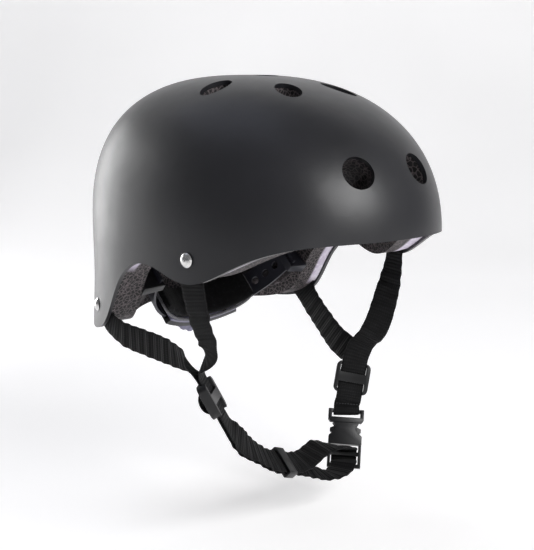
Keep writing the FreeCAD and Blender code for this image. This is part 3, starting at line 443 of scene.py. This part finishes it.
def moulded(name, dark, pale, roughness, grain_mm=0.7, strength=0.12):
    """Satin moulded plastic: slight tone drift, fine mould grain, and roughness that follows it."""
    material, tree, shader = start_material(name, roughness=roughness)
    place = add(tree, "ShaderNodeTexCoord").outputs["Object"]
    drift = add(tree, "ShaderNodeTexNoise", {"Scale": 1000 / DRIFT_MM, "Detail": 4.0}, {"Vector": place})
    tree.links.new(ramp(tree, drift.outputs["Fac"], [(0.3, dark), (0.7, pale)]), shader.inputs["Base Color"])
    spread = add(tree, "ShaderNodeMapRange", {"To Min": roughness - 0.06, "To Max": roughness + 0.08},
                 {"Value": drift.outputs["Fac"]})
    tree.links.new(spread.outputs["Result"], shader.inputs["Roughness"])
    grit = add(tree, "ShaderNodeTexNoise", {"Scale": 1000 / grain_mm, "Detail": 2.0}, {"Vector": place})
    bump = add(tree, "ShaderNodeBump", {"Strength": strength, "Distance": 0.0003},
               {"Height": grit.outputs["Fac"]})
    tree.links.new(bump.outputs["Normal"], shader.inputs["Normal"])
    return material


housing_grey = moulded("cradle_lavender_nylon", "#6f6d80", "#807e92", 0.42)
slate = moulded("band_slate_nylon", "#24252c", "#2d2e37", 0.45)
cradle_black = moulded("cradle_black_nylon", "#151517", "#1d1d20", 0.45)


FLAT_ANGLE, BEVEL_ANGLE, CREASE_ANGLE = math.radians(1), math.radians(32), math.radians(40)


def eased(node, material, body, width_mm=0.5, segments=2):
    """The node's own shape with its sharp edges eased, as a moulded part's are: flat facets are joined,
    then every edge sharper than the bevel angle gets a small round."""
    piece = mesh_copy(node + "_moulding", node)
    work = bmesh.new()
    work.from_mesh(piece.data)
    bmesh.ops.dissolve_limit(work, angle_limit=FLAT_ANGLE, verts=work.verts, edges=work.edges)
    work.to_mesh(piece.data)
    work.free()
    bevel = piece.modifiers.new("ease", "BEVEL")
    bevel.width, bevel.segments = width_mm * MM, segments
    bevel.limit_method, bevel.angle_limit = "ANGLE", BEVEL_ANGLE
    bevel.harden_normals = False
    bevel.use_clamp_overlap = True
    piece.data.materials.append(material)
    apply_modifiers(piece)
    piece.data.polygons.foreach_set("use_smooth", [True] * len(piece.data.polygons))
    piece.data.set_sharp_from_angle(angle=CREASE_ANGLE)
    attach(piece, body)
    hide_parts(node)
    return piece


eased("dial_housing", cradle_black, "helmet", 0.5)
eased("dial_cover", housing_grey, "helmet", 0.4)
eased("right_band_guide", cradle_black, "helmet", 0.4)
eased("left_band_guide", slate, "helmet", 0.4)
for name in ("right_band", "left_band"):
    finish_node(name, slate)
knob_grey = moulded("dial_soft_grip", "#77758a", "#86849a", 0.5)
finish_node("dial_knob", knob_grey)
finish_node("dial_pinion", slate)

# --- Harness webbing --------------------------------------------------------------------------
# Woven black polyester webbing, 20 mm wide. Its face shows close ribs across the web and a
# tighter selvedge along each edge. It is riveted inside the shell and folds at the tri-glides.
RIB_MM, YARN_MM, DUST_MM = 1.3, 0.9, 11
WEB_WIDTH, WEB_THICK, SELVEDGE_FROM, SELVEDGE_TO = 20 * MM, 1.3 * MM, 8.2 * MM, 8.8 * MM
WAVE_PER_MM = 1000 / 20 * math.pi
webbing, tree, shader = start_material("harness_polyester_web", roughness=0.72, sheen_weight=0.03,
                                       sheen_roughness=0.4, specular_ior_level=0.2)
uv = add(tree, "ShaderNodeUVMap", uv_map="UVMap").outputs["UV"]
across_along = add(tree, "ShaderNodeSeparateXYZ", links={"Vector": uv})
ribs = add(tree, "ShaderNodeTexWave",
           {"Scale": WAVE_PER_MM / RIB_MM, "Distortion": 0.6, "Detail": 1.0, "Detail Scale": 8.0},
           {"Vector": uv}, bands_direction="Y")
yarn = add(tree, "ShaderNodeTexWave", {"Scale": WAVE_PER_MM / YARN_MM, "Distortion": 0.4}, {"Vector": uv},
           bands_direction="X")
weave = add(tree, "ShaderNodeMath", {}, {0: ribs.outputs["Fac"], 1: yarn.outputs["Fac"]},
            operation="MULTIPLY")
centre = add(tree, "ShaderNodeMath", {}, {0: across_along.outputs["X"]}, operation="ABSOLUTE")
selvedge = add(tree, "ShaderNodeMapRange", {"From Min": SELVEDGE_FROM, "From Max": SELVEDGE_TO},
               {"Value": centre.outputs["Value"]})
height_mix = add(tree, "ShaderNodeMix", {}, {0: selvedge.outputs["Result"]})
tree.links.new(ribs.outputs["Fac"], height_mix.inputs[2])
tree.links.new(yarn.outputs["Fac"], height_mix.inputs[3])
dust = add(tree, "ShaderNodeTexNoise", {"Scale": 1000 / DUST_MM, "Detail": 4.0},
           {"Vector": add(tree, "ShaderNodeTexCoord").outputs["Object"]})
tone = add(tree, "ShaderNodeMath", {1: 0.5}, {0: weave.outputs["Value"]}, operation="MULTIPLY")
tone = add(tree, "ShaderNodeMath", {}, {0: tone.outputs["Value"], 1: dust.outputs["Fac"]}, operation="ADD")
tree.links.new(ramp(tree, tone.outputs["Value"], [(0.35, "#070708"), (0.75, "#0f0f10"), (1.15, "#1b1b1d")]),
               shader.inputs["Base Color"])
bump = add(tree, "ShaderNodeBump", {"Strength": 0.6, "Distance": 0.0005}, {"Height": height_mix.outputs[0]})
tree.links.new(bump.outputs["Normal"], shader.inputs["Normal"])


def unit(v):
    """Vectors of length one along the last axis."""
    v = np.asarray(v, float)
    return v / np.linalg.norm(v, axis=-1, keepdims=True)


def place_at(centre, across, up):
    """Frame with local Z along up and local X as near across as that allows; centre in millimetres."""
    z = unit(up)
    x = unit(np.asarray(across, float) - z * np.dot(across, z))
    return np.asarray(centre, float), np.stack([x, np.cross(z, x), z])


def local(place, x, y, z):
    """A point of a frame, in millimetres."""
    return tuple(place[0] + np.array([x, y, z], float) @ place[1])


def along_curve(knots, values, at):
    """Cubic through the values: each stretch is a Hermite curve with slopes from its neighbours."""
    slope = np.gradient(values, knots, axis=0)
    k = np.clip(np.searchsorted(knots, at, side="right") - 1, 0, len(knots) - 2)
    h = (knots[k + 1] - knots[k])[:, None]
    s = ((at - knots[k])[:, None]) / h
    return ((1 + 2 * s) * (1 - s) ** 2 * values[k] + s * (1 - s) ** 2 * h * slope[k]
            + s * s * (3 - 2 * s) * values[k + 1] + s * s * (s - 1) * h * slope[k + 1])


SECTION = 20
RIPPLE, RIPPLE_DEPTH, RIPPLE_RAMP = 8.5 * MM, 0.42 * MM, 12 * MM
corner = np.arange(SECTION) * 2 * math.pi / SECTION + math.pi / SECTION
section_x = np.sign(np.cos(corner)) * np.abs(np.cos(corner)) ** 0.35
section_y = np.sign(np.sin(corner)) * np.abs(np.sin(corner)) ** 0.55


def web_piece(name, stations, thick=WEB_THICK, width=WEB_WIDTH, step=1.3 * MM, calm=None):
    """Flat webbing: a rounded oblong section carried along a smooth line through given stations.
    A station is a place, a direction across the web and, where given, a shift square to its face, in mm.
    Between the calm ends the web ripples: two sines square to its face, added, as slack webbing does."""
    line = np.array([s[0] for s in stations], float) * MM
    aim = unit([s[1] for s in stations])
    moves = np.array([s[2] if len(s) > 2 else 0.0 for s in stations], float)[:, None] * MM
    knots = np.concatenate([[0], np.cumsum(np.linalg.norm(np.diff(line, axis=0), axis=1))])
    at = np.linspace(0, knots[-1], max(8, int(knots[-1] / step)))
    middle = along_curve(knots, line, at)
    forward = unit(np.gradient(middle, at, axis=0))
    aim = along_curve(knots, aim, at)
    aim = unit(aim - forward * np.sum(aim * forward, -1, keepdims=True))
    face = np.cross(forward, aim)
    middle = middle + face * along_curve(knots, moves, at)
    if calm:
        loose = np.clip((at - calm[0] * MM) / RIPPLE_RAMP, 0, 1)
        loose = loose * np.clip((knots[-1] - calm[1] * MM - at) / RIPPLE_RAMP, 0, 1)
        wave = np.sin(at * 2 * math.pi / RIPPLE) + 0.5 * np.sin(at * 2 * math.pi / RIPPLE / 1.63 + 1.0)
        middle = middle + face * (wave * loose * RIPPLE_DEPTH)[:, None]
    ring = (middle[:, None] + aim[:, None] * (section_x * width / 2)[None, :, None]
            + face[:, None] * (section_y * thick / 2)[None, :, None])
    rows = len(at)
    points = np.concatenate([ring.reshape(-1, 3), middle[:1], middle[-1:]])
    uv_pairs = np.stack([np.broadcast_to(section_x * width / 2, (rows, SECTION)),
                         np.broadcast_to(at[:, None], (rows, SECTION))], -1).reshape(-1, 2)
    uv_pairs = np.concatenate([uv_pairs, [[0, 0], [0, at[-1]]]])
    faces = [tuple(f) for f in grid_faces(rows, SECTION, close_columns=True)]
    last = (rows - 1) * SECTION
    for i in range(SECTION):
        j = (i + 1) % SECTION
        faces.append((rows * SECTION, j, i))
        faces.append((rows * SECTION + 1, last + i, last + j))
    piece = mesh_object(name, points, faces, webbing, uv=uv_pairs)
    return piece


RIGHT_GLIDE = place_at((-84.5, -42, -105), (-0.74, -0.67, 0), (-0.32, 0.353, 0.879))
LEFT_GLIDE = place_at((82, -12, -127), (0.74, -0.67, 0), (0.304, 0.076, 0.95))
BUCKLE = place_at((58, -27, -192), (0.748, -0.663, 0), (0.355, 0.289, 0.889))
KEEPER = place_at((-18, -41, -166.5), (-0.35, -0.8, -0.48), (-0.932, -0.161, 0.323))
LAYER_GAP_MM = 0.4
LAYER = (WEB_THICK / MM + LAYER_GAP_MM) / 2
STRAIGHT_TOP = 14.5
GLIDE_HEIGHTS = (STRAIGHT_TOP, 11, 7, 3, -1, -5, -9, -13.6)
STRAIGHT_BELOW = (-13.3, -15.4, -17.5, -19.6)

# Each strap drops from its rivet, leaves the shell and turns into its tri-glide. The stations are
# places down the strap, in millimetres, each with the direction across the web there.
STRAP_ROUTES = {
    ("right", "front"): [((-98.5, -39.7, 1), (0.21, -0.978, 0)), ((-98.5, -39.7, -9.5), (0.21, -0.978, 0)),
                         ((-98.5, -39.7, -24), (0.21, -0.978, 0)), ((-94.5, -42, -50), (0.1, -1, 0)),
                         ((-89.5, -45, -74), (-0.16, -0.98, 0))],
    ("left", "front"): [((98.5, -39.7, 1), (-0.21, -0.978, 0)), ((98.5, -39.7, -9.5), (-0.21, -0.978, 0)),
                        ((98.5, -39.7, -24), (-0.21, -0.978, 0)), ((94, -36, -58), (0.3, -0.95, 0)),
                        ((89.5, -27, -88), (0.6, -0.8, 0))],
    ("right", "rear"): [((-91.5, 78.4, -48.5), (-0.305, -0.649, 0.697)),
                        ((-94.5, 71.5, -56), (-0.261, -0.668, 0.697)),
                        ((-97.9, 61.6, -66), (-0.2, -0.688, 0.697)), ((-96, 47, -73.5), (-0.15, -0.3, 0.94)),
                        ((-93, 24, -77), (-0.1, -0.15, 0.98)), ((-90.5, -2, -80), (-0.15, -0.2, 0.97)),
                        ((-89.6, -22, -84), (-0.45, -0.4, 0.7))],
    ("left", "rear"): [((91.5, 78.4, -48.5), (0.305, -0.649, 0.697)),
                       ((94.5, 71.5, -56), (0.261, -0.668, 0.697)),
                       ((97.9, 61.6, -66), (0.2, -0.688, 0.697)), ((96, 50, -76), (0.15, -0.3, 0.94)),
                       ((93, 32, -89), (0.15, -0.4, 0.9)), ((90, 13, -101), (0.3, -0.5, 0.8)),
                       ((88.6, -1, -106.5), (0.5, -0.6, 0.5))],
}
GLIDES = {"right": (RIGHT_GLIDE, -1, (-0.74, -0.67, 0)), "left": (LEFT_GLIDE, 1, (0.74, -0.67, 0))}
for (mark, part), route in STRAP_ROUTES.items():
    glide, side, turned = GLIDES[mark]
    offset = LAYER * side * (-1 if part == "front" else 1)
    far = (np.array(route[-1][0]) - glide[0]) @ glide[1].T
    nearing = local(glide, far[0] * 0.2, offset + (far[1] - offset) * 0.2,
                    STRAIGHT_TOP + (far[2] - STRAIGHT_TOP) * 0.45)
    tail = [(nearing, turned)] + [(local(glide, 0, offset, z), turned) for z in GLIDE_HEIGHTS]
    strap = web_piece("%s_%s_strap_web" % (mark, part), route + tail, calm=(26, 34))
    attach(strap, "helmet")
    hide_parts("%s_%s_strap" % (mark, part))

# --- Chin strap -------------------------------------------------------------------------------
# One length of the same webbing runs from the right tri-glide to the buckle's ladder, folds round
# its upper bar and comes back along itself through the keeper.
CHIN_LAYER = LAYER + 0.1
LADDER_ACROSS, CHIN_ACROSS = (0.748, -0.663, 0), (-0.35, -0.8, -0.48)
chin_start = [(local(RIGHT_GLIDE, 0, 0, z), (-0.74, -0.67, 0)) for z in STRAIGHT_BELOW]
chin_middle = ([((-69, -50.5, -134.5), (-0.8, -0.5, -0.2)), ((-50, -46.6, -149.5), (-0.5, -0.75, -0.4))]
               + [(local(KEEPER, 0, 0, z), CHIN_ACROSS) for z in (10, 6, 2, -2, -6, -10)])
outer_end = [((6, -38.5, -176), (-0.3, -0.85, -0.4)), ((24, -38, -184.5), (0, -0.95, -0.3)),
             ((42, -36, -188.5), (0.4, -0.9, 0))]
inner_end = [((6, -37.5, -171), (-0.3, -0.85, -0.4)), ((26, -34, -167), (0, -0.95, -0.3)),
             ((44, -31.5, -171), (0.4, -0.9, 0))]
round_bar = [(local(BUCKLE, 0, y, z), LADDER_ACROSS, 0) for y, z in
             ((-4.2, 4.6), (0, 5.6), (2.6, 7.4), (2.8, 11.5), (0.6, 14.4), (-4.6, 14.0))]
chin_route = ([s + (CHIN_LAYER,) for s in chin_start + chin_middle + outer_end] + round_bar
              + [s + (CHIN_LAYER,) for s in (chin_start + chin_middle + inner_end)[::-1]])
chin_web = web_piece("chin_strap_web", chin_route, calm=(8, 8))
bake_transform(chin_web)
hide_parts("chin_strap_inner", "chin_strap_outer")

# --- Plug strap -------------------------------------------------------------------------------
# Doubled webbing below the left tri-glide, folded round the plug's bar and closed by a bar tack.
ring_turn = [(2.5, 46.8), (2.75, 44.5), (2.1, 42.8), (0, 42.05), (-2.1, 42.8), (-2.75, 44.5), (-2.5, 46.8)]
plug_front = ([(local(LEFT_GLIDE, 0, LAYER, z), (0.74, -0.67, 0)) for z in STRAIGHT_BELOW[:3]]
              + [(local(BUCKLE, 0, 0.9, 50.4), LADDER_ACROSS)])
plug_back = ([(local(BUCKLE, 0, -0.9, 50.4), LADDER_ACROSS)]
             + [(local(LEFT_GLIDE, 0, -LAYER, z), (0.74, -0.67, 0)) for z in STRAIGHT_BELOW[2::-1]])
plug_turn = [(local(BUCKLE, 0, y, z), LADDER_ACROSS) for y, z in ring_turn]
plug_web = web_piece("plug_strap_web", plug_front + plug_turn + plug_back, step=0.8 * MM, thick=1.25 * MM)
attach(plug_web, "helmet")
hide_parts("plug_strap", "plug_strap_loop")


def stitches(name, rows, material, length=2.2 * MM, radius=0.28 * MM):
    """Sewn rows: each stitch is a small spindle, lying between two neighbouring points of a row."""
    turnings = np.arange(6) * math.pi / 3
    profile = np.array([0.0, 0.8, 1.0, 0.8, 0.0])
    points, faces = [], []
    for row in rows:
        row = np.asarray(row, float) * MM
        for start, end in zip(row[:-1], row[1:]):
            axis = unit(end - start)
            side_a = unit(np.cross(axis, (0.31, 0.22, 0.93)))
            side_b = np.cross(axis, side_a)
            stops = (start + end) / 2 + np.linspace(-0.5, 0.5, 5)[:, None] * axis * min(
                length, np.linalg.norm(end - start) * 0.86)
            circle = side_a * np.cos(turnings)[:, None] + side_b * np.sin(turnings)[:, None]
            spindle = stops[:, None] + circle[None] * (profile * radius + 0.02 * MM)[:, None, None]
            base = sum(len(p) for p in points)
            points.append(spindle.reshape(-1, 3))
            faces.append(grid_faces(5, 6, close_columns=True) + base)
            caps = np.array([[5, 4, 3, 2], [5, 2, 1, 0], [24, 25, 26, 27], [24, 27, 28, 29]]) + base
            faces.append(caps)
    piece = mesh_object(name, np.concatenate(points), np.concatenate(faces), material)
    return piece


thread, tree, shader = start_material("bonded_nylon_thread", roughness=0.5)
place = add(tree, "ShaderNodeTexCoord").outputs["Object"]
twist = add(tree, "ShaderNodeTexWave", {"Scale": 700.0, "Distortion": 1.0}, {"Vector": place})
tree.links.new(ramp(tree, twist.outputs["Fac"], [(0.2, "#2a2a2c"), (0.8, "#4a4a4d")]),
               shader.inputs["Base Color"])
tack_rows = [[local(BUCKLE, x, y, z) for x in np.linspace(-9, 9, 9)]
             for y, z in ((1.65, 50.2), (-1.65, 50.2))]
tacks = stitches("plug_strap_bar_tack", tack_rows, thread)
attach(tacks, "helmet")

# --- Tri-glide loops --------------------------------------------------------------------------
# The adjusting fold of each strap stands out behind its tri-glide, round the middle bar.
for mark, (glide, side, turned) in GLIDES.items():
    back = -1 if mark == "right" else 1
    fold = [(local(glide, 0, back * y, z), turned) for y, z in
            ((2.4, 7.6), (4.4, 6.4), (6.6, 3.2), (7.3, -1.0), (6.4, -5.0), (4.2, -7.4), (2.4, -8.0))]
    loop = web_piece(mark + "_adjuster_fold", fold, step=0.8 * MM)
    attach(loop, mark + "_adjuster")

# --- Buckle, tri-glides and keeper ------------------------------------------------------------
# Black acetal mouldings: side-release plug with two springy prongs, ladder-lock socket, a
# tri-glide on each side and a loose keeper. Their corners are rounded where the mould parts.
acetal = moulded("buckle_black_acetal", "#101011", "#161618", 0.34, grain_mm=0.6, strength=0.08)
for node, body in (("buckle_plug", "helmet"), ("buckle_socket", "socket"), ("front_prong", "front_prong"),
                   ("back_prong", "back_prong"), ("right_triglide", "right_adjuster"),
                   ("left_triglide", "left_adjuster"), ("strap_keeper", "keeper")):
    eased(node, acetal, body, 0.6, segments=3)

# --- Cradle cushion piping --------------------------------------------------------------------
# A round grey binding, sewn over the cut edge of the black cushion all the way round.
TILT = math.radians(45)
CRADLE = place_at((0, 43.33, -28.33), (0, math.cos(TILT), -math.sin(TILT)),
                  (0, math.sin(TILT), math.cos(TILT)))
PIPE_R, PIPE_HEIGHT, PIPE_REACH, PIPE_FIT = 1.1, 14.2, 47.5, 60.4
PIPE_CORNER, BINDING_MM = 0.35, 1.1
binding, tree, shader = start_material("cushion_grey_binding", roughness=0.8, sheen_weight=0.3)
place = add(tree, "ShaderNodeTexCoord").outputs["Object"]
rib = add(tree, "ShaderNodeTexNoise", {"Scale": 1000 / BINDING_MM, "Detail": 3.0}, {"Vector": place})
tree.links.new(ramp(tree, rib.outputs["Fac"], [(0.35, "#4a494d"), (0.65, "#76757a")]),
               shader.inputs["Base Color"])
bump = add(tree, "ShaderNodeBump", {"Strength": 0.5, "Distance": 0.0004}, {"Height": rib.outputs["Fac"]})
tree.links.new(bump.outputs["Normal"], shader.inputs["Normal"])


def round_tube(name, line, radius, material, sides=12):
    """Closed tube: a circle carried round a closed line, square to it all the way."""
    line = np.asarray(line, float) * MM
    forward = unit(np.roll(line, -1, axis=0) - np.roll(line, 1, axis=0))
    out = unit(line - line.mean(axis=0))
    first = unit(out - forward * np.sum(out * forward, -1, keepdims=True))
    second = np.cross(forward, first)
    turnings = np.arange(sides) * 2 * math.pi / sides
    ring = (first[:, None] * np.cos(turnings)[None, :, None]
            + second[:, None] * np.sin(turnings)[None, :, None])
    points = line[:, None] + ring * radius * MM
    return mesh_object(name, points, grid_faces(len(line), sides, True, True), material)


turn_at = np.linspace(0, 2 * math.pi, 240, endpoint=False)
pipe_angle = np.radians(PIPE_REACH) * np.sign(np.cos(turn_at)) * np.abs(np.cos(turn_at)) ** PIPE_CORNER
pipe_up = PIPE_HEIGHT * np.sign(np.sin(turn_at)) * np.abs(np.sin(turn_at)) ** PIPE_CORNER
pipe_line = (CRADLE[0] + np.stack([PIPE_FIT * np.cos(pipe_angle), PIPE_FIT * np.sin(pipe_angle), pipe_up], -1)
             @ CRADLE[1])
piping = round_tube("cradle_pad_piping", pipe_line, PIPE_R, binding)
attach(piping, "helmet")
